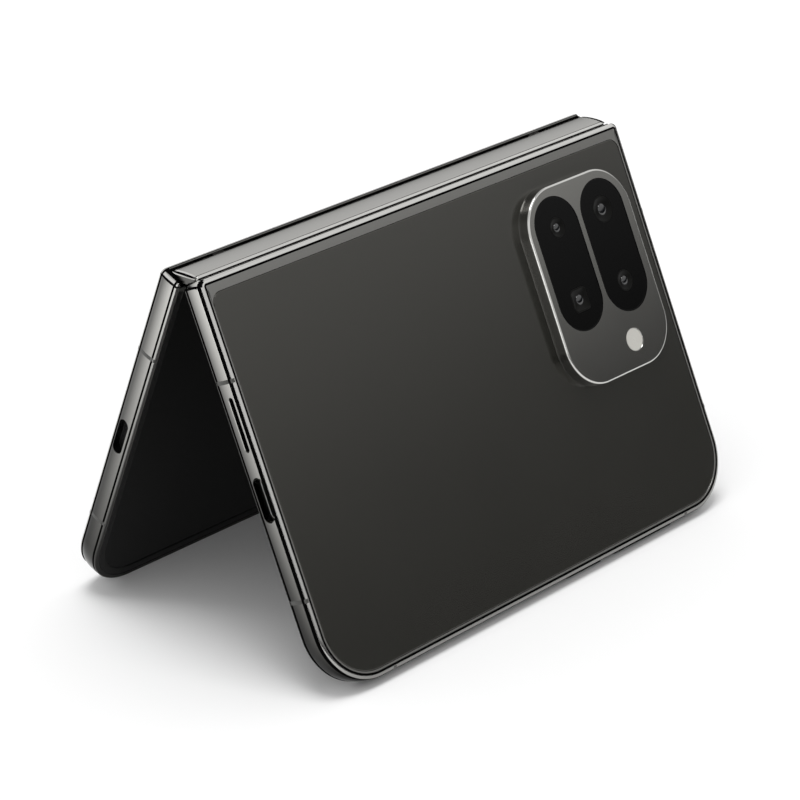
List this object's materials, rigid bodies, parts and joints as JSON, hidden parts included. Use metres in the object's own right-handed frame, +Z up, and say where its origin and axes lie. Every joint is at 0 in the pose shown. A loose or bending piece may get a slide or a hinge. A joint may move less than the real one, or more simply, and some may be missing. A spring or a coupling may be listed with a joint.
{
  "type": "foldable smartphone",
  "caption": "Folding smartphone standing as a tent: slim metal halves joined by a geared hinge with a narrow spine, matt dark back, raised camera island and a flexible inner display.",
  "frame": {"origin": "middle of the footprint, on the surface that the tent stands on", "axes": "+X along the hinge towards the end with the camera island, -Y towards the half with the camera island, +Z up"},
  "size_m": [0.122, 0.0766, 0.0783],
  "materials": {
    "metal": "bead blasted and anodised",
    "dark_trim": "matt",
    "back_glass": "etched matt coating on dark backing",
    "black_gloss": "polished",
    "display": "satin",
    "steel": "ground",
    "battery": "foil",
    "board": "solder mask",
    "copper": "enamelled wire",
    "black_plastic": "moulded",
    "diffuser": "milky",
    "phosphor": "matt"
  },
  "bodies": {
    "spine": {"spine_cover": "metal", "hinge_end_caps": "dark_trim", "hinge_base_blocks": "steel", "gear_shafts": "steel", "friction_springs": "steel", "spine_screws": "steel", "fold_support_plate": "steel", "inner_display_fold": "display"},
    "rear_half": {"rear_frame": "metal", "rear_antenna_bands": "dark_trim", "back_glass": "back_glass", "camera_island": "metal", "lens_windows": "black_gloss", "main_camera": "black_plastic", "wide_camera": "black_plastic", "tele_camera": "black_plastic", "portrait_camera": "black_plastic", "depth_sensor": "black_plastic", "flash_lens": "diffuser", "flash_board": "phosphor", "rear_battery": "battery", "main_board": "board", "board_shields": "steel", "usb_port": "steel", "rear_speaker": "black_plastic", "rear_speaker_mesh": "black_plastic", "vibration_motor": "steel", "charging_coil": "copper", "rear_display_half": "display", "rear_bezel": "dark_trim", "rear_swing_arms": "steel", "button_switches": "steel", "rear_arm_screws": "steel"},
    "cover_half": {"cover_frame": "metal", "cover_antenna_bands": "dark_trim", "cover_glass": "black_gloss", "cover_display_panel": "display", "front_camera": "black_plastic", "cover_battery": "battery", "cover_board": "board", "cover_speaker": "black_plastic", "cover_speaker_mesh": "black_plastic", "cover_display_half": "display", "cover_bezel": "dark_trim", "cover_swing_arms": "steel", "cover_arm_screws": "steel", "card_reader": "steel"},
    "rear_sync": {"rear_sync_arms": "steel"},
    "cover_sync": {"cover_sync_arms": "steel"},
    "rear_idler": {"rear_idler_gears": "steel"},
    "cover_idler": {"cover_idler_gears": "steel"},
    "power_key": {"power_button": "metal"},
    "volume_key": {"volume_rocker": "metal"},
    "tray": {"card_tray": "metal"}
  },
  "joints": [
    {"name": "rear_fold", "type": "hinge", "parent": "spine", "child": "rear_half", "pos_m": [0, -0.0034, 0.07837], "axis": [-1, 0, 0], "range_deg": [-23.5, 66.5], "deforming": ["inner_display_fold"]},
    {"name": "cover_fold", "type": "hinge", "parent": "spine", "child": "cover_half", "pos_m": [0, 0.0034, 0.07837], "axis": [1, 0, 0], "range_deg": [-23.5, 66.5], "deforming": ["inner_display_fold"]},
    {"name": "rear_sync_turn", "type": "hinge", "parent": "spine", "child": "rear_sync", "pos_m": [0, -0.00198, 0.07697], "axis": [-1, 0, 0], "range_deg": [-23.5, 66.5]},
    {"name": "rear_idler_turn", "type": "hinge", "parent": "spine", "child": "rear_idler", "pos_m": [0, -0.00066, 0.07697], "axis": [1, 0, 0], "range_deg": [-23.5, 66.5]},
    {"name": "cover_idler_turn", "type": "hinge", "parent": "spine", "child": "cover_idler", "pos_m": [0, 0.00066, 0.07697], "axis": [-1, 0, 0], "range_deg": [-23.5, 66.5]},
    {"name": "cover_sync_turn", "type": "hinge", "parent": "spine", "child": "cover_sync", "pos_m": [0, 0.00198, 0.07697], "axis": [1, 0, 0], "range_deg": [-23.5, 66.5]},
    {"name": "power_press", "type": "slide", "parent": "rear_half", "child": "power_key", "axis": [0, 0.3987, 0.9171], "range_m": [0, 0.00025], "stiffness_N_per_m": 3000},
    {"name": "volume_rock", "type": "hinge", "parent": "rear_half", "child": "volume_key", "pos_m": [0.032, -0.03597, 0.0018], "axis": [0, -0.9171, 0.3987], "range_deg": [-1.2, 1.2], "stiffness_Nm_per_rad": 0.4},
    {"name": "tray_slide", "type": "slide", "parent": "cover_half", "child": "tray", "axis": [1, 0, 0], "range_m": [0, 0.02]}
  ],
  "couplings": [
    {"joint": "cover_fold", "follows": "rear_fold", "ratio": 1},
    {"joint": "rear_sync_turn", "follows": "rear_fold", "ratio": 1},
    {"joint": "rear_idler_turn", "follows": "rear_fold", "ratio": 1},
    {"joint": "cover_idler_turn", "follows": "rear_fold", "ratio": 1},
    {"joint": "cover_sync_turn", "follows": "rear_fold", "ratio": 1}
  ]
}
